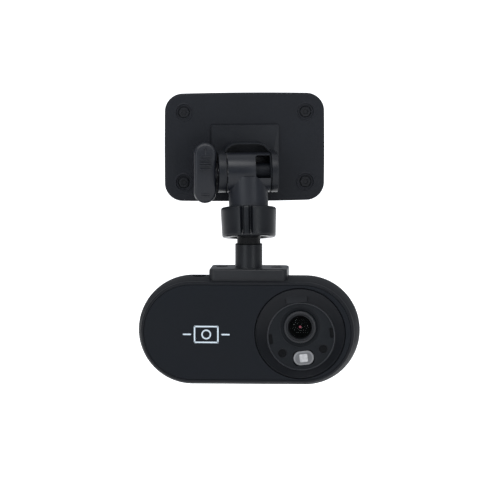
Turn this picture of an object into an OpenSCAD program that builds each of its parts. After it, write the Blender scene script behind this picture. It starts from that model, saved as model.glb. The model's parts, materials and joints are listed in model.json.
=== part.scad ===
// Dash camera with two lenses, hanging from an adhesive windshield mount.
// Origin: centre of the adhesive face. +X to the driver's right, +Y towards the glass, +Z up.
// The camera body is square to the axes; the mount is turned by rest_pan about Z.

/* [Camera body] */
// Width of the camera body, end to end
body_w = 95; // [79:0.5:114]
// Height of the camera body
body_h = 46.8; // [39:0.2:56.2]
// Depth of the camera body without the road lens bezel
body_d = 28; // [24:0.5:34]
// Wall thickness of the rear shell
shell_wall = 1.5; // [1:0.1:2.2]
// Thickness of the flat face plate
face_t = 1.6; // [1:0.1:2.4]
// Depth of the bezel between the face and the parting line
bezel_d = 3; // [2.4:0.1:4]
// How much the shell swells from the parting line to its widest section
crown = 1.6; // [0.8:0.1:2.4]

/* [Cabin lens turret] */
// Depth of the bowl from the face to the flat disc
bowl_depth = 5; // [4:0.1:6]
// Radius of the flat disc in the bowl
disc_r = 14.7; // [12.5:0.1:15.4]
// How far the disc sits below the turret's turning axis
disc_drop = 1.8; // [0:0.1:2.2]
// Radius of the ring round the cabin lens
lens_ring_r = 6.9; // [6.2:0.1:7.5]
// Height of the cabin lens above the disc's centre
lens_up = 4.1; // [3:0.1:5]
// Width of the infrared window
ir_w = 8.9; // [6:0.1:10]
// Height of the infrared window
ir_h = 6.2; // [4:0.1:6.6]

/* [Road lens] */
// Radius of the bezel round the road lens
road_bezel_r = 14; // [11:0.5:16]
// How far the bezel stands out from the back
road_bezel_d = 3; // [2:0.5:6]
// Distance of the road lens from the middle of the body
road_x = 21; // [17:0.5:25]

/* [Windshield mount] */
// Width of the mounting plate
plate_w = 69; // [57.5:0.1:82]
// Height of the mounting plate
plate_h = 46.9; // [39:0.1:56]
// Corner radius of the mounting plate
plate_r = 7.5; // [4:0.5:9]
// Thickness of the adhesive foam
pad_t = 1.2; // [0.6:0.1:2]
// Thickness of the backing plate
backing_t = 1.6; // [1.2:0.1:2.4]
// Thickness of the plate cover
cover_t = 1.6; // [1.2:0.1:2.4]
// Spacing of the cover screws along the plate
screw_dx = 52.5; // [46:0.5:60]
// Spacing of the cover screws up the plate
screw_dz = 30.2; // [26:0.2:36]
// Side of the square block that carries the hinge
block_w = 29.1; // [26:0.1:34]
// How far the block stands out from the cover
block_proud = 1.2; // [0.6:0.1:2]

/* [Hinge] */
// Distance from the adhesive face to the hinge axis
hinge_reach = 19; // [18.8:0.1:24]
// Distance of the hinge axis below the plate's centre
hinge_drop = 9.75; // [8:0.05:14]
// Radius of the hinge barrel and ears
barrel_r = 8.5; // [7.5:0.1:8.8]
// Length of the hinge barrel
barrel_len = 18.2; // [16:0.2:19]
// Length of the wing knob
knob_len = 25.9; // [21.6:0.1:26]
// Width of the wing knob along the hinge axis
knob_w = 9.5; // [7:0.1:11]

/* [Ball joint] */
// Distance from the hinge axis down to the ball's centre
ball_drop = 22.9; // [22:0.1:27]
// Radius of the ball
ball_r = 7; // [6.6:0.05:7.2]
// Radius of the clamp collar at its top
collar_r = 11.9; // [11.4:0.1:14]
// Height of the clamp collar
collar_h = 12.9; // [12.3:0.1:14.6]
// Radius of the neck between ball and shoe
neck_r = 5.85; // [4.7:0.05:6.3]
// Height of the ball's centre above the middle of the camera body
ball_up = 45; // [43:0.5:54]

/* [Pose at rest] */
// Turn of the mount about the vertical, against the camera body
rest_pan = 9; // [-30:1:30]
// Lean of the knuckle about the hinge axis
rest_tilt = -10; // [-60:1:5]
// Roll of the turret in the face, anticlockwise for the driver
rest_roll = 6.5; // [-30:0.5:30]

/* [Hidden] */
$fn = 96;
eps = 0.1;                // overshoot of a cutting tool
fit_gap = 0.05;           // radial clearance of a turning fit
still_gap = 0.02;         // clearance between pieces that don't move
move_gap = 0.3;           // clearance between bodies that pass each other

// camera body
max_r = body_h / 2;
end_x = body_w / 2 - max_r;
part_r = max_r - crown;
face_r = part_r - 1.5;
belly_y = bezel_d + 10;   // depth of the widest section
back_round = 5.9;         // how far the back edge is rounded in
lip_d = 1.4;              // bezel lip inside the shell
lip_r = part_r - 0.95;
seal_w = 0.5;
crown_steps = 5;
back_steps = 8;

// turret
turret_x = end_x - 1.5;
turret_z = -0.25;
turret_hole_r = face_r - 0.8;
turret_r = turret_hole_r - move_gap;
flange_r = turret_hole_r + 0.4;
flange_y = face_t + move_gap;
flange_t = 1.2;
bowl_r = turret_r - 0.6;
bowl_body_r = turret_r - 1.2;
disc_t = 1.4;
floor_t = 1;
bowl_back = bowl_depth + disc_t + floor_t;
lens_z = lens_up - disc_drop;
lens_r = 6;
glass_r = 4.9;
ring_proud = 1.6;
halo_r = 8.5;
halo_d = 0.3;
ir_z = -9.35 - disc_drop;
ir_corner = 2.2;
led_w = 3.6;
side_hole_r = 1.8;
side_hole_x = 8.8;
side_hole_z = -6.3 - disc_drop;
notch_x = 13.4;
notch_w = 1.6;
notch_h = 4.3;
tab_w = 9.3;
tab_y = 2.8;
tab_top = bowl_r - 1.6;
mic_z = 15.9 - disc_drop;
mic_r = 0.6;
sensor_y = 16;
holder_w = 14;

// electronics
board_y = 16;
board_t = 1.6;
board_x0 = -end_x - 10.4;
board_x1 = 5;
board_z = 14;
post_r = 2.4;
post_xz = [[-end_x - 14, 9], [-end_x - 14, -9], [2, max_r - 6.1], [2, -max_r + 6.1]];
post_split = 10;
screw_r = 1;
jack_x = -21.3;
jack_y = 11;
jack_w = 9;
jack_r = 2.75;
jack_top = max_r - shell_wall - 0.2;
jack_floor = 9;           // depth of the plug bore
card_x = -8;
card_w = 11;
card_h = 15;
card_t = 0.8;
card_y = 15;
card_out = 0.9;           // how far the card's edge is inside the slot's mouth
socket_w = 14;

// mount
plate_front = pad_t + backing_t + cover_t;
block_front = plate_front + block_proud;
block_z = -hinge_drop + 4.9;
ear_in = barrel_len / 2 + 0.4 + move_gap;
ear_left = 3.15;
ear_right = 2.7;
web_top = 12.3;
web_half_base = 10;
web_half_top = 6.3;
web_gap = 0.45;            // between the web and the barrel
web_low_y = 9.4;          // the web's face below the axis, clear of the swinging tube
bolt_r = 2;
sleeve_r = 4;
knob_in = ear_in + ear_left + 0.85;
knob_thick = 8.8;         // at the hinge axis
knob_thin = 4.8;          // at the knob's ends
insert_r = 3.2;
knob_ribs = [1.8, 3.5, 4.5];

// ball joint
collar_below = 5;         // how far the collar reaches below the ball's centre
collar_top = -ball_drop + collar_h - collar_below;
collar_low = -ball_drop - collar_below;
collar_low_r = collar_r - 0.4;
thread_r = 9.4;
cup_wall = 0.55;
cup_r = ball_r + fit_gap + cup_wall;
ring_r = cup_r + fit_gap + cup_wall;
pocket_r = ring_r + fit_gap;
collet_low = -ball_drop + 2;
mouth_r = ball_r - 0.3;
neck_slim = 5;
neck_step = 7.7;            // where the neck widens, below the ball's centre
tube_r = 8.5;
tube_forward = 0.4;
stem_y = 10;
shoe_w = 33.4;
shoe_d = 20;
shoe_top = max_r + 3.6;
shoe_y = bezel_d;
shoe_r = 2.5;
shoe_screw_x = 11.7;
foot_z = shoe_top - 2.4;

// where the hinge, the ball and the camera body are
hinge_at = [hinge_reach * sin(rest_pan), -hinge_reach * cos(rest_pan), -hinge_drop];
knuckle_up = [sin(rest_tilt) * sin(rest_pan), -sin(rest_tilt) * cos(rest_pan), cos(rest_tilt)];
ball_at = hinge_at - ball_drop * knuckle_up;
camera_at = ball_at - [0, stem_y, ball_up];

// ---- placing ----

module at_mount() rotate([0, 0, rest_pan]) children();
module at_hinge() at_mount() translate([0, -hinge_reach, -hinge_drop]) children();
module at_knuckle() at_hinge() rotate([rest_tilt, 0, 0]) children();
module at_socket() at_knuckle() translate([0, 0, -ball_drop]) children();
module at_camera() translate(camera_at) children();
module at_ball() translate(ball_at) children();
module at_turret() at_camera() translate([turret_x, 0, turret_z]) rotate([0, -rest_roll, 0]) children();

// ---- shared shapes ----

// Cylinder along X, Y or Z between two stations
module x_cyl(r, x0, x1) translate([x0, 0, 0]) rotate([0, 90, 0]) cylinder(r = r, h = x1 - x0);
module y_cyl(r, y0, y1) translate([0, y0, 0]) rotate([-90, 0, 0]) cylinder(r = r, h = y1 - y0);
module z_cyl(r, z0, z1) translate([0, 0, z0]) cylinder(r = r, h = z1 - z0);
// Cone along Y from r0 at y0 to r1 at y1
module y_cone(r0, r1, y0, y1)
    translate([0, y0, 0]) rotate([-90, 0, 0]) cylinder(r1 = r0, r2 = r1, h = y1 - y0);

module rounded(w, h, r) {
    square([w, h - 2 * r], center = true);
    square([w - 2 * r, h], center = true);
    for (x = [-1, 1], y = [-1, 1]) translate([x * (w / 2 - r), y * (h / 2 - r)]) circle(r = r);
}
// Rounded slab across Y, and across Z
module y_slab(w, h, r, y0, y1) translate([0, y1, 0]) rotate([90, 0, 0]) linear_extrude(y1 - y0) rounded(w, h, r);
module z_slab(w, h, r, z0, z1) translate([0, 0, z0]) linear_extrude(z1 - z0) rounded(w, h, r);
module block(x, y, z) translate([x[0], y[0], z[0]]) cube([x[1] - x[0], y[1] - y[0], z[1] - z[0]]);

// Solid with round ends: profile is [radius, depth] from the axis out and back
module capsule_end(profile)
    translate([end_x, 0, 0]) rotate([-90, 0, 0]) rotate([0, 0, -90]) rotate_extrude(angle = 180) polygon(profile);
module capsule_mid(profile) {
    last = len(profile) - 1;
    rotate([90, 0, 90]) linear_extrude(2 * end_x, center = true)
        polygon(concat([for (p = profile) [p[1], p[0]]], [for (i = [last - 1:-1:1]) [profile[i][1], -profile[i][0]]]));
}
module capsule(profile) {
    capsule_mid(profile);
    capsule_end(profile);
    mirror([1, 0, 0]) capsule_end(profile);
}

function front_r(y) = max_r - crown * pow((belly_y - y) / (belly_y - bezel_d), 2);
function shell_profile(inset, back) = concat(
    [[0, bezel_d]],
    [for (i = [0:crown_steps - 1]) let (y = bezel_d + (belly_y - bezel_d) * i / crown_steps) [front_r(y) - inset, y]],
    [for (i = [0:back_steps]) let (a = 90 * i / back_steps)
        [max_r - back_round + back_round * cos(a) - inset, belly_y + (back - belly_y) * sin(a)]],
    [[0, back]]);

module socket_screw(head_r, head_h, shank_r, length, af) {
    difference() {
        cylinder(r = head_r, h = head_h);
        translate([0, 0, head_h * 0.4]) cylinder(r = af / sqrt(3), h = head_h, $fn = 6);
    }
    translate([0, 0, -length]) cylinder(r = shank_r, h = length + eps);
}

// ---- windshield mount ----

module adhesive_pad() color([0.62, 0.62, 0.6]) at_mount()
    y_slab(plate_w - 2, plate_h - 2, plate_r - 1, -pad_t, 0);

module cover_screw_places() for (x = [-1, 1], z = [-1, 1]) translate([x * screw_dx / 2, 0, z * screw_dz / 2]) children();
module yoke_screw_places() for (x = [-1, 1], z = [-1, 1])
    translate([x * (block_w / 2 - 2.9), 0, block_z + z * (block_w / 2 - 2.9)]) children();

module backing_plate() color([0.1, 0.1, 0.11]) at_mount() difference() {
    y_slab(plate_w - 2, plate_h - 2, plate_r - 1, -pad_t - backing_t, -pad_t);
    cover_screw_places() y_cyl(screw_r + still_gap, -pad_t - backing_t - eps, -pad_t - 0.3);
    yoke_screw_places() {
        y_cyl(screw_r + still_gap, -pad_t - backing_t - eps, -pad_t + eps);
        y_cone(screw_r + still_gap, 1.9 + still_gap, -pad_t - 0.9, -pad_t);
    }
}

dish_r = 3.65;
dish_d = 0.5;
module mount_cover() color([0.1, 0.1, 0.11]) at_mount() difference() {
    union() {
        y_slab(plate_w, plate_h, plate_r, -plate_front + 0.6, -pad_t - backing_t);
        y_slab(plate_w - 0.6, plate_h - 0.6, plate_r - 0.3, -plate_front + 0.25, -plate_front + 0.6);
        y_slab(plate_w - 1.4, plate_h - 1.4, plate_r - 0.7, -plate_front, -plate_front + 0.25);
    }
    translate([0, 0, block_z]) y_slab(block_w + 2 * still_gap, block_w + 2 * still_gap, 1.2,
        -plate_front - eps, -pad_t - backing_t + eps);
    cover_screw_places() {
        y_cyl(dish_r, -plate_front - eps, -plate_front + dish_d);
        y_cyl(2.6, -plate_front, -plate_front + dish_d + 0.5);
        y_cyl(screw_r + still_gap, -plate_front, -pad_t - backing_t + eps);
    }
}

module cover_screws() color([0.12, 0.12, 0.13]) at_mount() cover_screw_places()
    translate([0, -plate_front + dish_d + 0.5, 0]) rotate([90, 0, 0])
        socket_screw(2.5, 0.75, screw_r, 1.7, 2.2);

module yoke_screws() color([0.6, 0.6, 0.62]) at_mount() yoke_screw_places() difference() {
    union() {
        y_cyl(screw_r, -block_front + 0.5, -pad_t - 0.5);
        y_cone(screw_r, 1.9, -pad_t - 0.9, -pad_t - still_gap);
    }
    y_cyl(0.7, -pad_t - 0.6, -pad_t + eps);
}

module ear(x0, x1) {
    x_cyl(barrel_r, x0, x1);
    block([x0, x1], [0, hinge_reach - block_front + eps], [-barrel_r, barrel_r]);
}
// Arched web between the ears, hollowed to follow the barrel
module web() difference() {
    translate([0, hinge_reach - block_front + eps, 0]) rotate([90, 0, 0]) linear_extrude(hinge_reach - block_front - 3)
        polygon([[-web_half_base, -barrel_r], [web_half_base, -barrel_r], [web_half_base, barrel_r],
            [web_half_top + 1.4, web_top - 1], [web_half_top, web_top], [-web_half_top, web_top],
            [-web_half_top - 1.4, web_top - 1], [-web_half_base, barrel_r]]);
    x_cyl(barrel_r + web_gap, -web_half_base - eps, web_half_base + eps);
    block([-web_half_base - eps, web_half_base + eps], [-barrel_r, 0.5], [-web_top - 1, web_top + 1]);
    block([-web_half_base - eps, web_half_base + eps], [-barrel_r, web_low_y], [-web_top - 1, 0]);
    block([-web_half_top - 0.3, web_half_top + 0.3], [0, web_low_y + 1], [6, web_top - 0.9]);
}
module hinge_yoke() color([0.1, 0.1, 0.11]) difference() {
    union() {
        at_mount() translate([0, 0, block_z])
            y_slab(block_w, block_w, 1.2, -block_front, -pad_t - backing_t);
        at_hinge() {
            ear(-ear_in - ear_left, -ear_in);
            ear(ear_in, ear_in + ear_right);
            web();
        }
    }
    at_hinge() {
        x_cyl(bolt_r + still_gap, -ear_in - ear_left - eps, ear_in + ear_right + eps);
        x_cyl(3.6, ear_in + ear_right - 1.5, ear_in + ear_right + eps);
    }
    at_mount() yoke_screw_places() y_cyl(screw_r + still_gap, -block_front + 0.4, -pad_t - backing_t + eps);
}

module pivot_bolt() color([0.55, 0.55, 0.57]) at_hinge() difference() {
    union() {
        x_cyl(bolt_r, -knob_in - knob_w + 2.2, ear_in + ear_right - 0.5);
        x_cyl(3.5, ear_in + ear_right - 1.5, ear_in + ear_right - 0.2);
    }
    translate([ear_in + ear_right - 0.9, 0, 0]) rotate([0, 90, 0]) cylinder(r = 1.45, h = 2, $fn = 6);
}

module pivot_sleeve() color([0.5, 0.5, 0.52]) at_hinge() difference() {
    x_cyl(sleeve_r, -ear_in + still_gap, ear_in - still_gap);
    x_cyl(bolt_r + still_gap, -ear_in, ear_in);
}

// ---- knuckle ----

window_x = 2.7;
window_z0 = -3.2;
window_z1 = 6.9;
module swivel_knuckle() color([0.1, 0.1, 0.11]) at_knuckle() difference() {
    union() {
        x_cyl(barrel_r, -barrel_len / 2, barrel_len / 2);
        translate([0, -tube_forward, 0]) z_cyl(tube_r, collar_top + 0.2, -2.6);
        z_cyl(thread_r, collet_low, collar_top - 0.2);
        translate([0, -tube_forward / 2, 0]) z_cyl(tube_r, collar_top - 1, collar_top + 0.6);
    }
    x_cyl(sleeve_r + fit_gap, -barrel_len / 2 - eps, barrel_len / 2 + eps);
    block([window_x, barrel_len / 2 + eps], [-barrel_r - eps, 0], [window_z0, window_z1]);
    translate([0, 0, -ball_drop]) sphere(r = pocket_r);
    for (a = [30, 90, 150]) rotate([0, 0, a]) block([-thread_r - eps, thread_r + eps], [-0.6, 0.6],
        [collet_low - eps, collet_low + 3.4]);
}

teeth = 30;
module serration_ring() color([0.12, 0.12, 0.13]) at_knuckle()
    translate([-barrel_len / 2 - 0.4, 0, 0]) rotate([0, 90, 0]) linear_extrude(0.4 - still_gap) difference() {
        polygon([for (i = [0:2 * teeth - 1]) let (r = barrel_r - 0.1 - (i % 2) * 0.5, a = 180 * i / teeth)
            [r * cos(a), r * sin(a)]]);
        circle(r = sleeve_r + fit_gap);
    }

module friction_washer() color([0.75, 0.75, 0.72]) at_knuckle() difference() {
    x_cyl(barrel_r - 0.3, barrel_len / 2 + still_gap, barrel_len / 2 + 0.4);
    x_cyl(sleeve_r + fit_gap, barrel_len / 2 - eps, barrel_len / 2 + 0.5);
}

// ---- wing knob ----

knob_mid = -knob_in - knob_w / 2;
knob_swell_r = (pow(knob_len / 2, 2) + pow((knob_thick - knob_thin) / 2, 2)) / (knob_thick - knob_thin);
module knob_side(s) translate([0, s * (knob_swell_r - knob_thick / 2), 0])
    x_cyl(knob_swell_r, -knob_w / 2 - eps, knob_w / 2 + eps);
module wing_knob() color([0.1, 0.1, 0.11]) at_hinge() difference() {
    translate([knob_mid, 0, 0]) intersection() {
        y_slab(knob_w, knob_len, knob_w / 2 - 0.01, -knob_thick / 2 - eps, knob_thick / 2 + eps);
        knob_side(-1);
        knob_side(1);
    }
    x_cyl(insert_r + still_gap, -knob_in - 6, -knob_in + eps);
    x_cyl(bolt_r + fit_gap, -knob_in - knob_w + 1.6, -knob_in);
    for (z = knob_ribs, s = [-1, 1]) translate([knob_mid, s * (knob_thick / 2 - 0.25), z])
        x_cyl(0.4, -2.4, 2.4, $fn = 24);
}

module knob_insert() color([0.72, 0.58, 0.3]) at_hinge() difference() {
    x_cyl(insert_r, -knob_in - 6 + still_gap, -knob_in - 0.1);
    x_cyl(bolt_r + fit_gap, -knob_in - 6 - eps, -knob_in);
}

module knob_washer() color([0.6, 0.6, 0.62]) at_hinge() difference() {
    x_cyl(5, -knob_in + still_gap, -knob_in + 0.55);
    x_cyl(bolt_r + fit_gap, -knob_in, -knob_in + 0.6);
}

// ---- ball joint ----

flute_r = 1.5;
flute_a = 8.6;
rib_turn = -10;
module clamp_collar() color([0.1, 0.1, 0.11]) at_knuckle() difference() {
    rotate_extrude() polygon([[0, collar_low], [collar_low_r - 0.7, collar_low], [collar_low_r, collar_low + 0.7],
        [collar_r, collar_top - 1.2], [collar_r - 0.3, collar_top - 0.4], [collar_r - 1.1, collar_top], [0, collar_top]]);
    z_cyl(thread_r + fit_gap, collet_low - move_gap, collar_top + eps);
    translate([0, 0, -ball_drop]) sphere(r = ball_r + fit_gap);
    z_cyl(mouth_r, collar_low - eps, -ball_drop);
    z_cyl(cup_r + 0.2, -ball_drop + 0.1, collet_low);
    translate([0, 0, collar_low - 0.01]) cylinder(r1 = 8.4, r2 = mouth_r, h = 1.9);
    for (a = [0, 120, 240], s = [-1, 1]) rotate([0, 0, rib_turn + a + s * flute_a])
        translate([0, -collar_r - flute_r * 0.55, 0]) z_cyl(flute_r, collar_low - eps, collar_top - 1.6);
}

module shell_band(r0, r1, z0) difference() {
    sphere(r = r1);
    sphere(r = r0);
    block([-r1 - 1, r1 + 1], [-r1 - 1, r1 + 1], [-r1 - 1, z0]);
}
module socket_ring() color([0.3, 0.3, 0.32]) at_socket() shell_band(cup_r + fit_gap, ring_r, 2.4);
module seat_cup() color([0.82, 0.82, 0.8]) at_socket() shell_band(ball_r + fit_gap, cup_r, 3.6);

module ball_stem() color([0.1, 0.1, 0.11]) at_ball() difference() {
    union() {
        sphere(r = ball_r);
        z_cyl(neck_slim, -neck_step, 0);
        z_cyl(neck_r, foot_z - ball_up, -neck_step);
        translate([0, 0, shoe_top - ball_up]) cylinder(r1 = neck_r + 0.6, r2 = neck_r, h = 0.6);
    }
    z_cyl(1.5 + still_gap, foot_z - ball_up - eps, foot_z - ball_up + 12);
}

module mount_shoe() color([0.1, 0.1, 0.11]) at_camera() difference() {
    translate([0, shoe_y + shoe_d / 2, 0]) {
        z_slab(shoe_w, shoe_d, shoe_r, part_r - 1, shoe_top - 0.9);
        z_slab(shoe_w - 0.6, shoe_d - 0.6, shoe_r - 0.3, shoe_top - 0.9, shoe_top - 0.3);
        z_slab(shoe_w - 1.8, shoe_d - 1.8, shoe_r - 0.9, shoe_top - 0.3, shoe_top);
    }
    rotate([90, 0, 90]) linear_extrude(shoe_w + 2, center = true)
        polygon([for (p = shell_profile(0, body_d)) [p[1], p[0]]]);
    block([-shoe_w, shoe_w], [bezel_d - eps, body_d], [0, part_r]);
    translate([0, stem_y, 0]) {
        z_cyl(neck_r + still_gap, foot_z, shoe_top + eps);
        z_cyl(1.5 + still_gap, max_r - 1, foot_z + eps);
        translate([0, 0, max_r]) cylinder(r1 = 2.9, r2 = 1.5 + still_gap, h = 1.1);
        z_cyl(2.9, part_r, max_r + 0.01);
    }
    for (s = [-1, 1]) translate([s * shoe_screw_x, belly_y, 0]) {
        z_cyl(screw_r + still_gap, max_r - 1, shoe_top);
        z_cyl(2.5, shoe_top - 1.6, shoe_top + eps);
    }
}

module shoe_screws() color([0.14, 0.14, 0.15]) at_camera() for (s = [-1, 1])
    translate([s * shoe_screw_x, belly_y, shoe_top - 1.6]) socket_screw(2.4, 1.3, screw_r, 7, 2.2);

module stem_screw() color([0.6, 0.6, 0.62]) at_camera() translate([0, stem_y, 0]) difference() {
    union() {
        z_cyl(1.5, max_r + 0.05, foot_z + 11.5);
        translate([0, 0, max_r + 0.05]) cylinder(r1 = 2.75, r2 = 1.5, h = 1);
    }
    translate([0, 0, max_r]) cylinder(r = 1, h = 0.9, $fn = 6);
}

// ---- shell ----

module post_places() for (p = post_xz) translate([p[0], 0, p[1]]) children();
vent_n = 5;
module rear_shell() color([0.1, 0.1, 0.11]) at_camera() difference() {
    union() {
        difference() {
            capsule(shell_profile(0, body_d));
            capsule(concat([[0, bezel_d - eps], [lip_r + fit_gap, bezel_d - eps], [lip_r + fit_gap, bezel_d + lip_d + 0.2]],
                [for (p = shell_profile(shell_wall, body_d - shell_wall)) if (p[1] > bezel_d + lip_d + 0.2) p]));
        }
        post_places() y_cyl(post_r + 0.2, post_split + 0.1, body_d - shell_wall + 0.2);
        for (s = [-1, 1]) translate([s * shoe_screw_x, belly_y, 0]) z_cyl(2.6, max_r - 5.2, max_r - 1);
    }
    post_places() {
        y_cyl(screw_r + still_gap, post_split - eps, body_d + eps);
        y_cyl(2.2, body_d - 3, body_d + eps);
    }
    for (s = [-1, 1]) translate([s * shoe_screw_x, belly_y, 0]) z_cyl(screw_r + still_gap, max_r - 5.4, max_r + 1);
    translate([jack_x, jack_y, 0]) z_cyl(jack_r + 0.1, max_r - 3, max_r + 1);
    translate([-road_x, 0, 0]) y_cyl(7.6, body_d - 2.5, body_d + eps);
    translate([card_x, card_y, -max_r]) z_slab(card_w + 1.2, card_t + 1.2, 0.6, -1, 2.4);
    for (i = [0:vent_n - 1]) translate([turret_x, 0, 3 * (i - (vent_n - 1) / 2)])
        y_slab(12 - 2 * abs(i - (vent_n - 1) / 2), 1.2, 0.59, body_d - 2.5, body_d + eps);
}

module shell_ring(r0, r1, y0, y1) difference() {
    capsule([[0, y0], [r1, y0], [r1, y1], [0, y1]]);
    capsule([[0, y0 - eps], [r0, y0 - eps], [r0, y1 + eps], [0, y1 + eps]]);
}
module front_bezel() color([0.12, 0.12, 0.13]) at_camera() difference() {
    capsule([[0, 0], [face_r + 0.6, 0], [face_r + 1, 0.25], [face_r + 1.28, 0.8], [face_r + 1.42, 1.6],
        [part_r, bezel_d - still_gap], [lip_r, bezel_d - still_gap], [lip_r, bezel_d + lip_d], [0, bezel_d + lip_d]]);
    capsule([[0, -eps], [face_r + still_gap, -eps], [face_r + still_gap, bezel_d + lip_d + eps],
        [0, bezel_d + lip_d + eps]]);
    shell_ring(lip_r, lip_r + seal_w, bezel_d - 0.5, bezel_d + 0.1);
}

module shell_seal() color([0.05, 0.05, 0.05]) at_camera()
    shell_ring(lip_r + still_gap, lip_r + seal_w - still_gap, bezel_d - 0.45, bezel_d - still_gap);

module face_plate() color([0.08, 0.08, 0.09]) at_camera() difference() {
    union() {
        capsule([[0, 0], [face_r, 0], [face_r, face_t], [0, face_t]]);
        post_places() y_cyl(post_r, face_t - eps, post_split);
    }
    post_places() y_cyl(screw_r + still_gap, post_split - 6, post_split + eps);
    translate([turret_x, 0, turret_z]) y_cyl(turret_hole_r, -eps, face_t + eps);
}

module shell_screws() color([0.16, 0.16, 0.17]) at_camera() post_places()
    translate([0, body_d - 3, 0]) rotate([-90, 0, 0]) socket_screw(2, 1.6, screw_r, body_d - 3 - post_split + 5, 1.9);

module turret_retainer() color([0.2, 0.2, 0.22]) at_camera() translate([turret_x, 0, turret_z]) difference() {
    y_cyl(flange_r, flange_y + flange_t + move_gap, flange_y + flange_t + move_gap + 1.2);
    y_cyl(bowl_body_r + move_gap, flange_y, flange_y + flange_t + 2);
}

// ---- electronics ----

module main_board() color([0.05, 0.22, 0.12]) at_camera() {
    block([board_x0, board_x1], [board_y, board_y + board_t], [-board_z, board_z]);
    block([card_x - socket_w / 2 - 0.2, card_x + socket_w / 2 + 0.2], [board_y, board_y + board_t],
        [-max_r + 3.6, -board_z + eps]);
}
chips = [[-27, -2, 12, 12, 1.2], [-12, 6, 9, 10, 1.1], [-31, -11, 4, 4, 0.9], [-1.5, 0.5, 5, 5, 0.9], [-19, -11, 5, 3, 0.8]];
module board_chips() color([0.06, 0.06, 0.07]) at_camera() for (c = chips)
    block([c[0] - c[2] / 2, c[0] + c[2] / 2], [board_y - c[4], board_y], [c[1] - c[3] / 2, c[1] + c[3] / 2]);
module thermal_pad() color([0.55, 0.6, 0.68]) at_camera()
    block([-33, -21], [board_y - 2.2, board_y - 1.2], [-8, 4]);
module heat_spreader() color([0.7, 0.71, 0.73]) at_camera()
    block([-34.8, -17], [board_y - 3, board_y - 2.2], [-10, 6]);

module backup_capacitors() color([0.12, 0.16, 0.3]) at_camera() for (z = [-5.5, 4])
    translate([0, 7.6, z]) x_cyl(4, -34, -20);

module speaker() color([0.15, 0.15, 0.16]) at_camera() translate([turret_x, 0, 0]) {
    y_cyl(8, body_d - shell_wall - 2.2, body_d - shell_wall - 0.05);
    y_cyl(5, body_d - shell_wall - 4, body_d - shell_wall - 2.1);
}

module dc_jack() color([0.04, 0.04, 0.05]) at_camera() translate([jack_x, jack_y, 0]) difference() {
    block([-jack_w / 2, jack_w / 2], [-jack_w / 2, jack_w / 2], [jack_top - 11, jack_top - 0.6]);
    z_cyl(jack_r, jack_top - jack_floor, jack_top);
    z_cyl(0.65 + still_gap, jack_top - 12, jack_top - jack_floor + eps);
}
module jack_pin() color([0.8, 0.8, 0.78]) at_camera() translate([jack_x, jack_y, 0])
    z_cyl(0.65, jack_top - 11, jack_top - 2.4);

module card_socket() color([0.75, 0.76, 0.78]) at_camera() difference() {
    block([card_x - socket_w / 2, card_x + socket_w / 2], [card_y - 1.2, board_y - still_gap], [-max_r + 2.6, -max_r + 18]);
    block([card_x - card_w / 2 - 0.3, card_x + card_w / 2 + 0.3], [card_y - card_t / 2 - 0.3, card_y + card_t / 2 + 0.3],
        [-max_r, -max_r + card_out + card_h + 0.4]);
}
module memory_card() color([0.06, 0.06, 0.07]) at_camera()
    translate([card_x, card_y + card_t / 2, -max_r + card_out]) rotate([90, 0, 0]) linear_extrude(card_t)
        polygon([[-card_w / 2, 0], [card_w / 2, 0], [card_w / 2, card_h - 6], [card_w / 2 - 0.8, card_h - 5],
            [card_w / 2 - 0.8, card_h], [-card_w / 2, card_h]]);

// ---- road lens ----

module road_lens_bezel() color([0.07, 0.07, 0.08]) at_camera() translate([-road_x, 0, 0]) difference() {
    union() {
        y_cyl(road_bezel_r, body_d, body_d + road_bezel_d - 0.8);
        y_cone(road_bezel_r, road_bezel_r - 0.8, body_d + road_bezel_d - 0.81, body_d + road_bezel_d);
    }
    y_cone(7.4, road_bezel_r - 1.6, body_d + 0.3, body_d + road_bezel_d + 0.01);
    y_cyl(7.4, body_d - eps, body_d + 1);
}
module road_lens_barrel() color([0.09, 0.09, 0.1]) at_camera() translate([-road_x, 0, 0]) difference() {
    union() {
        y_cyl(lens_r, board_y + board_t + 2, body_d - 1);
        y_cyl(7.2, body_d - 2, body_d + 0.8);
    }
    y_cyl(5.2, body_d - 1.6, body_d + 0.9);
    y_cyl(3.2, board_y + board_t + 1, body_d);
}
module road_lens_glass() color([0.3, 0.32, 0.45]) at_camera() translate([-road_x, 0, 0]) intersection() {
    y_cyl(5.15, body_d - 1.5, body_d + 3);
    translate([0, body_d - 8.2, 0]) sphere(r = 9.2);
}
module lens_mount(y0, y1) difference() {
    block([-holder_w / 2, holder_w / 2], [y0, y1], [-holder_w / 2, holder_w / 2]);
    y_cyl(lens_r + still_gap, y0 + 1.6, y1 + eps);
    block([-4.6, 4.6], [y0 - eps, y0 + 2], [-4.6, 4.6]);
}
module road_lens_holder() color([0.11, 0.11, 0.12]) at_camera() translate([-road_x, 0, 0])
    lens_mount(board_y + board_t + still_gap, board_y + board_t + 6);
module sensor(y0) {
    block([-4.2, 4.2], [y0, y0 + 0.7], [-3.8, 3.8]);
    block([-3, 3], [y0 + 0.65, y0 + 0.9], [-2.4, 2.4]);
}
module road_image_sensor() color([0.2, 0.24, 0.3]) at_camera() translate([-road_x, 0, 0]) sensor(board_y + board_t + still_gap);

// ---- turret ----

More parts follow.
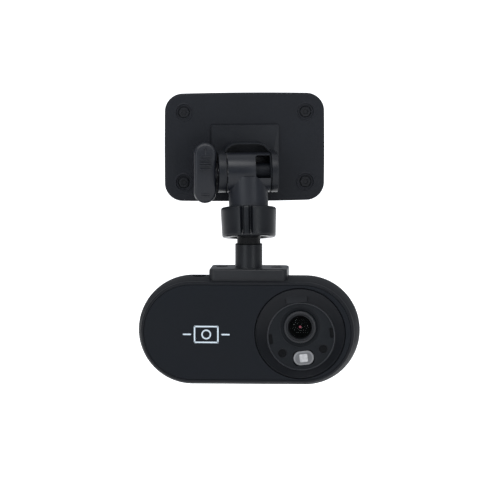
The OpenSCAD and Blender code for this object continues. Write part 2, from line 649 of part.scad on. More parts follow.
module lens_bowl() color([0.08, 0.08, 0.09]) at_turret() difference() {
    union() {
        y_cyl(turret_r, 0.15, flange_y + eps);
        y_cyl(flange_r, flange_y, flange_y + flange_t);
        y_cyl(bowl_body_r, flange_y, bowl_back);
    }
    difference() {
        hull() {
            y_cyl(bowl_r, 0, 0.3, $fn = 64);
            translate([0, 0, -disc_drop]) y_cyl(disc_r + still_gap, bowl_depth - 0.01, bowl_depth, $fn = 64);
        }
        block([-tab_w / 2, tab_w / 2], [tab_y, bowl_depth + 1], [disc_r - disc_drop, tab_top]);
    }
    translate([0, 0, -disc_drop]) y_cyl(disc_r + still_gap, bowl_depth - 0.05, bowl_depth + disc_t);
    translate([0, 0, lens_z]) y_cyl(lens_r + 0.3, 0, bowl_back + eps);
    translate([0, 0, ir_z]) block([-led_w / 2 - 0.3, led_w / 2 + 0.3], [0, bowl_back + eps], [-led_w / 2 - 0.3, led_w / 2 + 0.3]);
    translate([0, 0, mic_z]) y_cyl(mic_r, tab_y - eps, tab_y + 1.2);
    translate([0, 0, mic_z]) y_cyl(1.5, tab_y + 1, bowl_back + eps);
    for (s = [-1, 1]) translate([s * side_hole_x, 0, side_hole_z]) y_cyl(screw_r + still_gap, bowl_depth, bowl_back + eps);
}

module turret_face() color([0.06, 0.06, 0.07]) at_turret() difference() {
    translate([0, 0, -disc_drop]) y_cyl(disc_r, bowl_depth, bowl_depth + disc_t);
    translate([0, 0, lens_z]) {
        y_cyl(lens_r + 0.2, bowl_depth - eps, bowl_depth + disc_t + eps);
        y_cyl(halo_r, bowl_depth - eps, bowl_depth + halo_d);
    }
    translate([0, 0, ir_z]) {
        y_slab(ir_w + 0.1, ir_h + 0.1, ir_corner, bowl_depth - eps, bowl_depth + 1);
        block([-led_w / 2 - 0.3, led_w / 2 + 0.3], [bowl_depth, bowl_depth + 2], [-led_w / 2 - 0.3, led_w / 2 + 0.3]);
    }
    for (s = [-1, 1]) {
        translate([s * side_hole_x, 0, side_hole_z]) {
            y_cyl(side_hole_r, bowl_depth - eps, bowl_depth + 0.9);
            y_cyl(screw_r + still_gap, bowl_depth, bowl_depth + 2);
        }
        translate([s * notch_x, 0, -disc_drop]) y_slab(notch_w, notch_h, 0.7, bowl_depth - eps, bowl_depth + 0.8);
    }
}

module trim_ring() color([0.3, 0.3, 0.32]) at_turret() translate([0, 0, -disc_drop]) difference() {
    y_cyl(disc_r - 0.1, bowl_depth - 0.3, bowl_depth - still_gap);
    y_cyl(disc_r - 0.55, bowl_depth - 1, bowl_depth + eps);
    block([-tab_w / 2 - 0.1, tab_w / 2 + 0.1], [tab_y, bowl_depth + 1], [disc_r - 0.6, disc_r + 1]);
}

module turret_screws() color([0.2, 0.2, 0.21]) at_turret() for (s = [-1, 1])
    translate([s * side_hole_x, bowl_depth + 0.9, side_hole_z]) rotate([90, 0, 0])
        socket_screw(1.6, 0.5, screw_r, 1.5, 1.5);

module cabin_lens_barrel() color([0.1, 0.1, 0.11]) at_turret() translate([0, 0, lens_z]) difference() {
    union() {
        y_cyl(lens_r, bowl_depth, sensor_y - 2);
        y_cyl(lens_ring_r, bowl_depth - ring_proud + 0.4, bowl_depth + halo_d - still_gap);
        y_cone(lens_ring_r - 0.4, lens_ring_r, bowl_depth - ring_proud, bowl_depth - ring_proud + 0.4);
    }
    y_cone(lens_ring_r - 1.1, glass_r + 0.05, bowl_depth - ring_proud - 0.01, bowl_depth - ring_proud + 1.2);
    y_cyl(glass_r + 0.05, bowl_depth - ring_proud, bowl_depth + 1.4);
    y_cyl(3.2, bowl_depth, sensor_y);
}
module cabin_lens_glass() color([0.3, 0.3, 0.45]) at_turret() translate([0, 0, lens_z]) intersection() {
    y_cyl(glass_r, bowl_depth - 3, bowl_depth + 1.3);
    translate([0, bowl_depth + 8.2, 0]) sphere(r = 9.1);
}
module cabin_lens_holder() color([0.11, 0.11, 0.12]) at_turret() translate([0, 0, lens_z])
    translate([0, 2 * sensor_y, 0]) mirror([0, 1, 0]) lens_mount(sensor_y + still_gap, sensor_y + 5.6);
module cabin_sensor_board() color([0.05, 0.22, 0.12]) at_turret() translate([0, 0, lens_z])
    block([-9, 9], [sensor_y, sensor_y + 1], [-9.5, 8.5]);
module cabin_image_sensor() color([0.2, 0.24, 0.3]) at_turret() translate([0, 0, lens_z])
    translate([0, 2 * sensor_y, 0]) mirror([0, 1, 0]) sensor(sensor_y + still_gap);

module ir_window() color([0.55, 0.55, 0.6]) at_turret() translate([0, 0, ir_z])
    y_slab(ir_w, ir_h, ir_corner, bowl_depth - 0.05, bowl_depth + 0.6);
module ir_led() color([0.85, 0.8, 0.55]) at_turret() translate([0, 0, ir_z])
    block([-led_w / 2, led_w / 2], [bowl_depth + 0.9, bowl_back + 0.2], [-led_w / 2, led_w / 2]);
module ir_board() color([0.05, 0.22, 0.12]) at_turret() translate([0, 0, ir_z])
    block([-6, 6], [bowl_back + 0.2 + still_gap, bowl_back + 1.2], [-3.6, 3.4]);
module microphone() color([0.7, 0.7, 0.68]) at_turret() translate([0, 0, mic_z])
    y_cyl(1.1, tab_y + 1.25, tab_y + 2.6);

adhesive_pad();
backing_plate();
mount_cover();
cover_screws();
hinge_yoke();
yoke_screws();
pivot_bolt();
pivot_sleeve();
swivel_knuckle();
serration_ring();
friction_washer();
wing_knob();
knob_insert();
knob_washer();
clamp_collar();
socket_ring();
seat_cup();
ball_stem();
mount_shoe();
shoe_screws();
stem_screw();
rear_shell();
front_bezel();
face_plate();
shell_seal();
shell_screws();
turret_retainer();
main_board();
board_chips();
thermal_pad();
heat_spreader();
backup_capacitors();
speaker();
dc_jack();
jack_pin();
card_socket();
memory_card();
road_lens_bezel();
road_lens_barrel();
road_lens_glass();
road_lens_holder();
road_image_sensor();
lens_bowl();
turret_face();
trim_ring();
turret_screws();
cabin_lens_barrel();
cabin_lens_glass();
cabin_lens_holder();
cabin_sensor_board();
cabin_image_sensor();
ir_window();
ir_led();
ir_board();
microphone();
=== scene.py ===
import json
import math

import bmesh
import bpy
from mathutils import Matrix, Vector


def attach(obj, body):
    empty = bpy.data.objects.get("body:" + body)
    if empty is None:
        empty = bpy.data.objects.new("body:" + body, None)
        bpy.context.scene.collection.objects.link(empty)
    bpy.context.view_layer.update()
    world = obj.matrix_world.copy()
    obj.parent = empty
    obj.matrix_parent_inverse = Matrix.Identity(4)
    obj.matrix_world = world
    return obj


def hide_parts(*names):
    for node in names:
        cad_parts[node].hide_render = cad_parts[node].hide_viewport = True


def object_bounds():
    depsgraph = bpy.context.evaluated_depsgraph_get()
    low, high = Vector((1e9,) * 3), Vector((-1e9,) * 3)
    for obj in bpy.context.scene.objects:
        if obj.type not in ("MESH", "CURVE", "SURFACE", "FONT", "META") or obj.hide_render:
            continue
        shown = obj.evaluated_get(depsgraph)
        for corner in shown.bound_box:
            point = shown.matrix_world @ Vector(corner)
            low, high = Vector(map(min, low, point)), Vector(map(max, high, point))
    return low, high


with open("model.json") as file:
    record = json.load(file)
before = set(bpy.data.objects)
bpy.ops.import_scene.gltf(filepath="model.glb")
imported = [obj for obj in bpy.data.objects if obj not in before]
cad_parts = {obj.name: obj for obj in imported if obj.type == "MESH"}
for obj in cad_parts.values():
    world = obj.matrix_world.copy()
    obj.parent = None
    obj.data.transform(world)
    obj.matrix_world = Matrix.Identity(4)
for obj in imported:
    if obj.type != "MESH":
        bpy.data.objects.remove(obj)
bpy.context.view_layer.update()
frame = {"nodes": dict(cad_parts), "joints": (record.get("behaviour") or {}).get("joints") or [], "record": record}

MM = 0.001

# ---------------------------------------------------------------- frames of the bodies
record = frame["record"]
joint = {j["name"]: j for j in frame["joints"]}
mount_out = Vector(next(m["axis"] for m in record["mounts"] if m["name"] == "windshield_face"))


def axes_frame(origin, x, y):
    """A frame in millimetres: origin in metres, x and y directions in the row frame."""
    x, y = Vector(x).normalized(), Vector(y).normalized()
    z = x.cross(y)
    m = Matrix((x, y, z)).transposed().to_4x4()
    m.translation = Vector(origin) / MM
    return m


hinge_x = Vector(joint["hinge_tilt"]["axis"])
hinge_at = Vector(joint["hinge_tilt"]["pos_m"])
ball_at = Vector(joint["ball_pan"]["pos_m"])
knuckle_up = Vector(joint["ball_pan"]["axis"])
MOUNT = axes_frame((0, 0, 0), hinge_x, mount_out)
HINGE = axes_frame(hinge_at, hinge_x, mount_out)
KNUCKLE = axes_frame(hinge_at, hinge_x, knuckle_up.cross(hinge_x))
BALL = Matrix.Translation(ball_at / MM)
BALL_Y, BALL_UP = 10, 45  # the ball's centre, seen from the camera body's origin
CAMERA = Matrix.Translation(ball_at / MM - Vector((0, BALL_Y, BALL_UP)))
ROLL = math.radians(6.5)
TURRET = Matrix.Translation(Vector(joint["turret_roll"]["pos_m"]) / MM) @ Matrix.Rotation(-ROLL, 4, "Y")

# sizes in millimetres, as the CAD has them
MAX_R, END_X, CROWN, BODY_D, BEZEL_D, FACE_T = 23.4, 24.1, 1.6, 28.0, 3.0, 1.6
PART_R = MAX_R - CROWN
FACE_R = PART_R - 1.5
TURRET_X, TURRET_Z = END_X - 1.5, -0.25
HOLE_R = FACE_R - 0.8
TURRET_R = HOLE_R - 0.3
BOWL_D, DISC_R, DISC_DROP = 5.0, 14.7, 1.8
LENS_Z = 4.1 - DISC_DROP
PLATE_FRONT, BLOCK_FRONT = 4.4, 5.6
REACH, DROP = 19.0, 9.75

# ---------------------------------------------------------------- camera
AZ, EL, DIST, MM_PER_PX = math.radians(3.7), math.radians(5.5), 3.0, 0.4270
target = (CAMERA.translation + Vector((1.167, 0, 35.51))) * MM
back = Vector((math.sin(AZ) * math.cos(EL), -math.cos(AZ) * math.cos(EL), math.sin(EL)))
cam_data = bpy.data.cameras.new("camera")
cam_data.sensor_width = 36
cam_data.lens = 36 * DIST / (500 * MM_PER_PX * MM)
cam_data.clip_start, cam_data.clip_end = 0.1, 100
cam = bpy.data.objects.new("camera", cam_data)
bpy.context.scene.collection.objects.link(cam)
cam.rotation_mode = "QUATERNION"
cam.location = target + back * DIST
cam.rotation_quaternion = (-back).to_track_quat("-Z", "Y")
bpy.context.scene.camera = cam


# ---------------------------------------------------------------- mesh helpers, all in millimetres
def mesh_obj(name, verts, faces):
    me = bpy.data.meshes.new(name)
    me.from_pydata([tuple(v) for v in verts], [], faces)
    me.validate()
    o = bpy.data.objects.new(name, me)
    bpy.context.scene.collection.objects.link(o)
    return o


def rounded_path(pts, steps=4):
    """Corners (a, b, radius) of an open path become arcs; the first and last stay as they are."""
    out = []
    for i, p in enumerate(pts):
        rad = p[2] if len(p) > 2 else 0
        if i in (0, len(pts) - 1) or rad <= 0:
            out.append((p[0], p[1]))
            continue
        c = Vector(p[:2])
        u = Vector(pts[i - 1][:2]) - c
        v = Vector(pts[i + 1][:2]) - c
        lu, lv = u.length, v.length
        u.normalize(), v.normalize()
        half = math.acos(max(-1, min(1, u.dot(v)))) / 2
        if abs(half - math.pi / 2) < 0.01:
            out.append((p[0], p[1]))
            continue
        reach = min(rad / math.tan(half), 0.49 * lu, 0.49 * lv)
        r = reach * math.tan(half)
        mid = (u + v).normalized() * (r / math.sin(half)) + c
        a0 = (c + u * reach) - mid
        a1 = (c + v * reach) - mid
        t0, t1 = math.atan2(a0.y, a0.x), math.atan2(a1.y, a1.x)
        d = (t1 - t0 + math.pi) % (2 * math.pi) - math.pi
        for k in range(steps + 1):
            t = t0 + d * k / steps
            out.append((mid.x + r * math.cos(t), mid.y + r * math.sin(t)))
    return out


def loft(name, rings, cap0=True, cap1=True, closed=False):
    n = len(rings[0])
    verts = [v for r in rings for v in r]
    faces = []
    spans = len(rings) if closed else len(rings) - 1
    for i in range(spans):
        a, b = i * n, ((i + 1) % len(rings)) * n
        for k in range(n):
            m = (k + 1) % n
            faces.append((a + k, a + m, b + m, b + k))
    if not closed:
        if cap0:
            faces.append(tuple(range(n - 1, -1, -1)))
        if cap1:
            faces.append(tuple(range((len(rings) - 1) * n, len(rings) * n)))
    o = mesh_obj(name, verts, faces)
    tidy(o)
    return o


def tidy(o, merge=1e-4):
    bm = bmesh.new()
    bm.from_mesh(o.data)
    bmesh.ops.remove_doubles(bm, verts=bm.verts, dist=merge)
    bmesh.ops.dissolve_degenerate(bm, edges=bm.edges, dist=merge)
    bmesh.ops.recalc_face_normals(bm, faces=bm.faces)
    bm.to_mesh(o.data)
    bm.free()


def circle_ring(r, y, n=96, cx=0, cz=0):
    turns = [2 * math.pi * k / n for k in range(n)]
    return [(cx + r * math.cos(t), y, cz + r * math.sin(t)) for t in turns]


def stadium_ring(r, y, ex=END_X, n=48):
    out = []
    for side, start in ((1, -90), (-1, 90)):
        for k in range(n + 1):
            t = math.radians(start + 180 * k / n)
            out.append((side * ex + r * math.cos(t), y, r * math.sin(t)))
    return out


def rrect_ring(w, h, r, y, n=10, cx=0, cz=0, bow=0.0):
    """Rounded rectangle; bow draws the long sides in towards the corners."""
    out = []
    r = max(r, 0.01)
    corners = ((1, -1, -90), (1, 1, 0), (-1, 1, 90), (-1, -1, 180))
    for c, (sx, sz, start) in enumerate(corners):
        for k in range(n + 1):
            t = math.radians(start + 90 * k / n)
            out.append((sx * (w / 2 - r) + r * math.cos(t), sz * (h / 2 - r) + r * math.sin(t)))
        if bow:
            x0, z0 = out[-1]
            nx, nz, start = corners[(c + 1) % 4]
            t = math.radians(start)
            x1, z1 = nx * (w / 2 - r) + r * math.cos(t), nz * (h / 2 - r) + r * math.sin(t)
            out += [(x0 + (x1 - x0) * k / 12, z0 + (z1 - z0) * k / 12) for k in range(1, 12)]
    return [(cx + x * (1 - 0.3 * bow * (2 * z / h) ** 2), y, cz + z * (1 - bow * (2 * x / w) ** 2))
            for x, z in out]


def revolve(name, path, n=96, cx=0, cz=0, cap0=True, cap1=True, closed=False):
    """path of (radius, y) about the Y axis."""
    return loft(name, [circle_ring(r, y, n, cx, cz) for r, y in path], cap0, cap1, closed)


def capsule(name, path, cap0=True, cap1=True, closed=False, n=48):
    return loft(name, [stadium_ring(r, y, n=n) for r, y in path], cap0, cap1, closed)


def slab(name, w, h, r, y0, y1, e0=0.0, e1=0.0, steps=4, cx=0, cz=0, n=10, bow=0.0):
    """Rounded slab from y0 to y1 with edge radii e0 at y0 and e1 at y1."""
    rings = []
    for k in range(steps + 1 if e0 else 1):
        t = math.radians(90 * k / steps) if e0 else 0
        i = e0 * (1 - math.sin(t)) if e0 else 0
        y = y0 + (e0 * (1 - math.cos(t)) if e0 else 0)
        rings.append(rrect_ring(w - 2 * i, h - 2 * i, r - i, y, n, cx, cz, bow))
    for k in range(steps + 1 if e1 else 1):
        t = math.radians(90 * k / steps) if e1 else 0
        i = e1 * (1 - math.cos(t)) if e1 else 0
        y = y1 - (e1 * (1 - math.sin(t)) if e1 else 0)
        rings.append(rrect_ring(w - 2 * i, h - 2 * i, r - i, y, n, cx, cz, bow))
    return loft(name, rings)


def box(name, x, y, z):
    v = [(a, b, c) for a in x for b in y for c in z]
    f = [(0, 1, 3, 2), (4, 6, 7, 5), (0, 4, 5, 1), (2, 3, 7, 6), (0, 2, 6, 4), (1, 5, 7, 3)]
    o = mesh_obj(name, v, f)
    tidy(o)
    return o


def prism(name, outline, y0, y1):
    """Outline of (x, z) carried from y0 to y1."""
    n = len(outline)
    v = [(x, y0, z) for x, z in outline] + [(x, y1, z) for x, z in outline]
    f = [tuple(range(n)), tuple(range(2 * n - 1, n - 1, -1))]
    f += [(k, k + n, (k + 1) % n + n, (k + 1) % n) for k in range(n)]
    o = mesh_obj(name, v, f)
    tidy(o)
    return o


def turn(o, m):
    o.data.transform(m)
    return o


Y_TO_X = Matrix.Rotation(math.radians(-90), 4, "Z")   # a shape made about Y now lies along X
Y_TO_Z = Matrix.Rotation(math.radians(90), 4, "X")    # ... and along Z


def shift(o, x=0, y=0, z=0):
    return turn(o, Matrix.Translation((x, y, z)))


def x_round(name, path, n=64):
    return turn(revolve(name, [(r, x) for r, x in path], n), Y_TO_X)


def z_round(name, path, n=96):
    return turn(revolve(name, [(r, z) for r, z in path], n), Y_TO_Z)


def applied(o):
    dg = bpy.context.evaluated_depsgraph_get()
    me = bpy.data.meshes.new_from_object(o.evaluated_get(dg))
    o.modifiers.clear()
    old, o.data = o.data, me
    bpy.data.meshes.remove(old)
    return o


def boolean(o, tools, op):
    for t in tools:
        m = o.modifiers.new("b", "BOOLEAN")
        m.operation, m.solver, m.object = op, "EXACT", t
        applied(o)
        bpy.data.objects.remove(t)
    tidy(o)
    return o


def cut(o, *tools):
    return boolean(o, tools, "DIFFERENCE")


def union(o, *tools):
    return boolean(o, tools, "UNION")


def bevel(o, width, segments=3, angle=30):
    m = o.modifiers.new("bevel", "BEVEL")
    m.width, m.segments, m.limit_method, m.angle_limit = width, segments, "ANGLE", math.radians(angle)
    m.use_clamp_overlap = True
    m.miter_outer = "MITER_ARC"
    return applied(o)


def smooth(o, angle=32):
    bm = bmesh.new()
    bm.from_mesh(o.data)
    for f in bm.faces:
        f.smooth = True
    lim = math.radians(angle)
    for e in bm.edges:
        e.smooth = len(e.link_faces) == 2 and e.calc_face_angle(0) < lim
    bm.to_mesh(o.data)
    bm.free()


def place(o, where, mat, body, replaces=(), angle=32):
    """Puts a finished shape in the row frame, in metres, on its body."""
    if len(o.data.polygons):
        smooth(o, angle)
    o.data.transform(Matrix.Scale(MM, 4) @ where)
    o.data.materials.clear()
    o.data.materials.append(mat)
    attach(o, body)
    if replaces:
        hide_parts(*([replaces] if isinstance(replaces, str) else replaces))
    return o


# ---------------------------------------------------------------- materials
ROUGH_DRIFT = 0.06  # how far the gloss drifts either way over a surface


def nodes_of(name):
    m = bpy.data.materials.new(name)
    m.use_nodes = True
    nt = m.node_tree
    b = nt.nodes["Principled BSDF"]
    return m, nt, b


def noise(nt, coord, scale, detail=3.0, rough=0.5):
    n = nt.nodes.new("ShaderNodeTexNoise")
    n.inputs["Scale"].default_value = scale
    n.inputs["Detail"].default_value = detail
    n.inputs["Roughness"].default_value = rough
    nt.links.new(coord, n.inputs["Vector"])
    return n.outputs["Fac"]


def ranged(nt, value, lo, hi, a=0.3, b=0.7):
    n = nt.nodes.new("ShaderNodeMapRange")
    n.inputs["From Min"].default_value, n.inputs["From Max"].default_value = a, b
    n.inputs["To Min"].default_value, n.inputs["To Max"].default_value = lo, hi
    nt.links.new(value, n.inputs["Value"])
    return n.outputs["Result"]


def mixed(nt, fac, c0, c1):
    n = nt.nodes.new("ShaderNodeMix")
    n.data_type = "RGBA"
    n.inputs["A"].default_value = (*c0, 1)
    n.inputs["B"].default_value = (*c1, 1)
    nt.links.new(fac, n.inputs["Factor"])
    return n.outputs["Result"]


def grained(name, base, rough=0.5, grain=0.25, bump=0.12, vary=0.12, patch=14.0, metal=0.0, spec=0.5,
            scratch=0.0):
    """Moulded or worked surface: fine grain in the bump, slow drift in colour and gloss. Sizes in mm."""
    m, nt, b = nodes_of(name)
    tc = nt.nodes.new("ShaderNodeTexCoord").outputs["Object"]
    slow = noise(nt, tc, 1000 / patch, 4, 0.55)
    fine = noise(nt, tc, 1000 / grain, 2, 0.6)
    lo = tuple(c * (1 - vary) for c in base)
    hi = tuple(min(1, c * (1 + vary)) for c in base)
    nt.links.new(mixed(nt, ranged(nt, slow, 0, 1), lo, hi), b.inputs["Base Color"])
    nt.links.new(ranged(nt, slow, rough - ROUGH_DRIFT, rough + ROUGH_DRIFT), b.inputs["Roughness"])
    height = fine
    if scratch:
        sc = noise(nt, tc, 260, 6, 0.75)
        add = nt.nodes.new("ShaderNodeMath")
        add.operation = "MULTIPLY_ADD"
        add.inputs[1].default_value = scratch
        nt.links.new(sc, add.inputs[0])
        nt.links.new(fine, add.inputs[2])
        height = add.outputs[0]
    bn = nt.nodes.new("ShaderNodeBump")
    bn.inputs["Strength"].default_value = bump
    bn.inputs["Distance"].default_value = grain * MM * 0.5
    nt.links.new(height, bn.inputs["Height"])
    nt.links.new(bn.outputs["Normal"], b.inputs["Normal"])
    b.inputs["Metallic"].default_value = metal
    b.inputs["Specular IOR Level"].default_value = spec
    return m


M_MOUNT = grained("mount_black", (0.005, 0.0058, 0.0078), 0.56, grain=0.35, bump=0.25, vary=0.10, spec=0.11)
M_KNUCKLE = grained("knuckle_black", (0.0046, 0.0055, 0.008), 0.36, grain=0.3, bump=0.15, vary=0.12, spec=0.2)
M_COLLAR = grained("collar_black", (0.0030, 0.0036, 0.0048), 0.36, grain=0.3, bump=0.1, vary=0.12, spec=0.16)
M_YOKE = grained("yoke_black", (0.0042, 0.0050, 0.0068), 0.42, grain=0.3, bump=0.15, vary=0.10, spec=0.15)
M_SHOE = grained("shoe_black", (0.0046, 0.0052, 0.0066), 0.44, grain=0.3, bump=0.2, vary=0.10, spec=0.2)
# near-black copy of the black plastic: painted shade of the collar's shadow on the ball's waist
M_BALL_SHADE = grained("ball_painted_shade", (0.0016, 0.0018, 0.0022), 0.5, grain=0.2, bump=0.05, vary=0.08, spec=0.08)
M_SHELL = grained("shell_black", (0.0048, 0.0054, 0.0068), 0.66, grain=0.3, bump=0.22, vary=0.08, spec=0.09)
M_FACE = grained("face_black", (0.0034, 0.0043, 0.006), 0.6, grain=0.22, bump=0.12, vary=0.08, spec=0.08)
M_BOWL = grained("bowl_black", (0.0044, 0.005, 0.0064), 0.5, grain=0.22, bump=0.10, vary=0.08, spec=0.13)
M_DISC = grained("disc_black", (0.0036, 0.0046, 0.006), 0.52, grain=0.2, bump=0.08, vary=0.06, spec=0.1)
M_LENS = grained("lens_black", (0.0045, 0.0052, 0.0066), 0.36, grain=0.15, bump=0.05, vary=0.06, spec=0.24)
# the trim ring is a real part; its lighter tone is painted highlight along the disc's rim
M_TRIM_HIGHLIGHT = grained("trim_edge_highlight", (0.012, 0.013, 0.016), 0.32, grain=0.2, bump=0.05, vary=0.1, spec=0.25)
M_SCREW = grained("screw_black", (0.0036, 0.0042, 0.0056), 0.42, grain=0.12, bump=0.2, vary=0.2,
                  scratch=0.4, spec=0.14)
M_STEEL = grained("zinc_steel", (0.52, 0.52, 0.54), 0.34, grain=0.2, bump=0.15, vary=0.1, metal=1.0,
                  scratch=0.6)
M_SLEEVE = grained("sleeve_grey", (0.004, 0.0048, 0.0066), 0.55, grain=0.2, bump=0.1, vary=0.1, spec=0.08)
M_LINER = grained("acetal_liner", (0.62, 0.62, 0.60), 0.45, grain=0.3, bump=0.05, vary=0.04)
M_FOAM = grained("adhesive_foam", (0.20, 0.20, 0.205), 0.85, grain=0.35, bump=0.5, vary=0.12, patch=6)
M_RUBBER = grained("seal_rubber", (0.012, 0.012, 0.012), 0.75, grain=0.3, bump=0.2, vary=0.15)
M_BOARD = grained("solder_mask", (0.012, 0.075, 0.035), 0.32, grain=0.6, bump=0.08, vary=0.25, patch=3)
M_CHIP = grained("moulded_chip", (0.015, 0.015, 0.016), 0.6, grain=0.12, bump=0.3, vary=0.12)
M_PAD = grained("thermal_pad", (0.24, 0.30, 0.42), 0.8, grain=0.4, bump=0.3, vary=0.08)
M_ALU = grained("aluminium", (0.60, 0.61, 0.63), 0.36, grain=0.2, bump=0.2, vary=0.05, metal=1.0, scratch=0.4)
M_IR = grained("ir_window_white", (0.115, 0.117, 0.122), 0.34, grain=0.3, bump=0.05, vary=0.06, spec=0.4)
M_LED = grained("led_resin", (0.27, 0.27, 0.275), 0.35, grain=0.5, bump=0.05, vary=0.25, patch=1.2, spec=0.5)
M_INK = grained("printed_white", (0.34, 0.39, 0.43), 0.6, grain=0.15, bump=0.05, vary=0.05, spec=0.3)
# near-black: painted shade of the dark depth inside the lens barrels
M_PAINTED_SHADE = grained("recess_painted_shade", (0.0006, 0.0007, 0.0008), 0.6, grain=0.3, bump=0.1, vary=0.1, spec=0.03)


def lens_glass(name, tint):
    """Front glass: clear enough to see the dark pieces behind it."""
    m, nt, b = nodes_of(name)
    tc = nt.nodes.new("ShaderNodeTexCoord").outputs["Object"]
    slow = noise(nt, tc, 300, 2, 0.5)
    dim = tuple(c * 0.8 for c in tint)
    nt.links.new(mixed(nt, ranged(nt, slow, 0, 1), dim, tint), b.inputs["Base Color"])
    nt.links.new(ranged(nt, slow, 0.03, 0.06), b.inputs["Roughness"])
    b.inputs["Specular IOR Level"].default_value = 0.04
    b.inputs["IOR"].default_value = 1.5
    b.inputs["Alpha"].default_value = 0.45
    return m


M_GLASS = lens_glass("coated_glass", (0.0020, 0.0026, 0.0024))
# bright pink: painted glint, the coating's reflection at the lens centre
M_GLINT = grained("painted_glint", (0.4, 0.1, 0.14), 0.2, grain=0.4, bump=0.0, vary=0.1, metal=0.6,
                    spec=0.8)
# dark: painted shade at the bottom of holes and recesses
M_HOLE_SHADE = grained("hole_painted_shade", (0.0019, 0.0022, 0.0028), 0.6, grain=0.3, bump=0.1, vary=0.1, spec=0.07)
M_IRDARK = grained("ir_window_shade", (0.062, 0.063, 0.067), 0.34, grain=0.3, bump=0.05, vary=0.06, spec=0.4)

# the screws sunk in the disc's side holes and the knob's insert and washer get painted shade
CAD_LOOKS = {
    "adhesive_pad": M_FOAM, "backing_plate": M_MOUNT, "yoke_screws": M_STEEL, "pivot_bolt": M_STEEL,
    "pivot_sleeve": M_SLEEVE, "serration_ring": M_KNUCKLE, "friction_washer": M_SLEEVE, "knob_insert": M_HOLE_SHADE,
    "knob_washer": M_HOLE_SHADE, "socket_ring": M_LINER, "seat_cup": M_LINER, "stem_screw": M_STEEL,
    "shell_seal": M_RUBBER, "turret_retainer": M_SHELL, "main_board": M_BOARD, "board_chips": M_CHIP,
    "thermal_pad": M_PAD, "heat_spreader": M_ALU, "backup_capacitors": M_ALU, "speaker": M_CHIP,
    "dc_jack": M_CHIP, "jack_pin": M_STEEL, "card_socket": M_STEEL, "memory_card": M_CHIP,
    "road_lens_holder": M_LENS, "road_image_sensor": M_CHIP, "cabin_lens_holder": M_LENS,
    "cabin_sensor_board": M_BOARD, "cabin_image_sensor": M_CHIP, "ir_board": M_BOARD, "ir_led": M_LED,
    "microphone": M_ALU, "cover_screws": M_SCREW, "shoe_screws": M_SCREW, "shell_screws": M_SCREW,
    "turret_screws": M_HOLE_SHADE,
}
for node, o in frame["nodes"].items():
    o.data.materials.clear()
    o.data.materials.append(CAD_LOOKS.get(node, M_SHELL))

# ---------------------------------------------------------------- windshield mount
pad = slab("adhesive_pad_shape", 67.0, 44.9, 6.5, -1.22, 0.0, e0=0.12, e1=0.05, steps=2, n=12)
place(pad, MOUNT, M_FOAM, "mount", "adhesive_pad")
SCREW_DX, SCREW_DZ = 52.5, 30.2
COVER_XZ = [(sx * SCREW_DX / 2, sz * SCREW_DZ / 2) for sx in (-1, 1) for sz in (-1, 1)]
BLOCK_W = 29.1
BLOCK_Z = -DROP + 4.9
COVER_BACK = -2.8

cover = slab("mount_cover_shape", 69.0, 46.9, 7.5, -PLATE_FRONT, COVER_BACK, e0=0.9, e1=0.15, n=16, bow=0.02)
cutters = []
for x, z in COVER_XZ:
    dish = rounded_path([(0.01, -4.9), (4.05, -4.9), (3.55, -PLATE_FRONT + 0.05, 0.2), (3.35, -3.92, 0.15),
                         (2.55, -3.92, 0.08), (2.55, -3.38), (0.01, -3.38)])
    cutters.append(revolve("c", dish, 48, x, z))
cut(cover, *cutters)
place(cover, MOUNT, M_MOUNT, "mount", "mount_cover")
for k, (x, z) in enumerate(COVER_XZ):
    path = rounded_path([(3.5, -4.3), (3.5, -4.55, 0.1), (3.85, -4.55, 0.12), (4.2, -4.36)], 3)
    rim = revolve(f"boss_rim_{k}", path, 48, x, z, cap0=False, cap1=False)
    place(rim, MOUNT, M_MOUNT, "mount")
    path = rounded_path([(0.01, -3.55), (1.2, -3.55), (1.35, -4.12, 0.06), (2.3, -4.12, 0.25), (2.5, -3.8),
                         (2.5, -3.38), (0.01, -3.38)])
    head = revolve(f"cover_screw_{k}", path, 6, x, z)
    place(head, MOUNT, M_SCREW, "mount", "cover_screws")

EAR_IN, EAR_L, EAR_R, BARREL_R = 9.8, 3.15, 2.7, 8.5
BLOCK_IN = REACH - BLOCK_FRONT + 0.6  # inside the block, behind the hinge axis


def ear(name, x0, x1):
    """Round end with an arm to the block; the arm is a hair smaller, so that no two faces share a plane."""
    pts = [(0.01, x0), (BARREL_R, x0), (BARREL_R, x1), (0.01, x1)]
    arm = box("b", (x0 + 0.02, x1 - 0.02), (0, BLOCK_IN), (-BARREL_R + 0.01, BARREL_R - 0.01))
    return union(x_round(name, pts, 96), arm)


arch = [(-10, -8.3), (10, -8.3), (10, 8.3), (9.4, 9.6), (8.5, 10.8), (7.3, 11.7), (5.8, 12.2), (4.0, 12.35)]
web = prism("w", arch + [(-x, z) for x, z in reversed(arch[2:])], 3, BLOCK_IN)
pocket_side = [(9.2, 8.4), (8.2, 10.1), (7.0, 11.1), (5.6, 11.7), (3.9, 11.9)]
pocket = prism("c", [(-9.2, 6), (9.2, 6)] + pocket_side + [(-x, z) for x, z in reversed(pocket_side)], 2, 9)
web = cut(web, x_round("c", [(0.01, -11), (8.95, -11), (8.95, 11), (0.01, 11)], 96),
          box("c", (-11, 11), (2, 9.4), (-9, 0)), pocket)
yoke = slab("hinge_yoke_shape", BLOCK_W, BLOCK_W, 0.8, -BLOCK_FRONT, COVER_BACK, cz=BLOCK_Z, n=6)
turn(yoke, Matrix.Translation((0, REACH, DROP)))
yoke = union(yoke, ear("e", -EAR_IN - EAR_L, -EAR_IN), ear("e", EAR_IN, EAR_IN + EAR_R), web)
bolt_seat = EAR_IN + EAR_R - 1.5
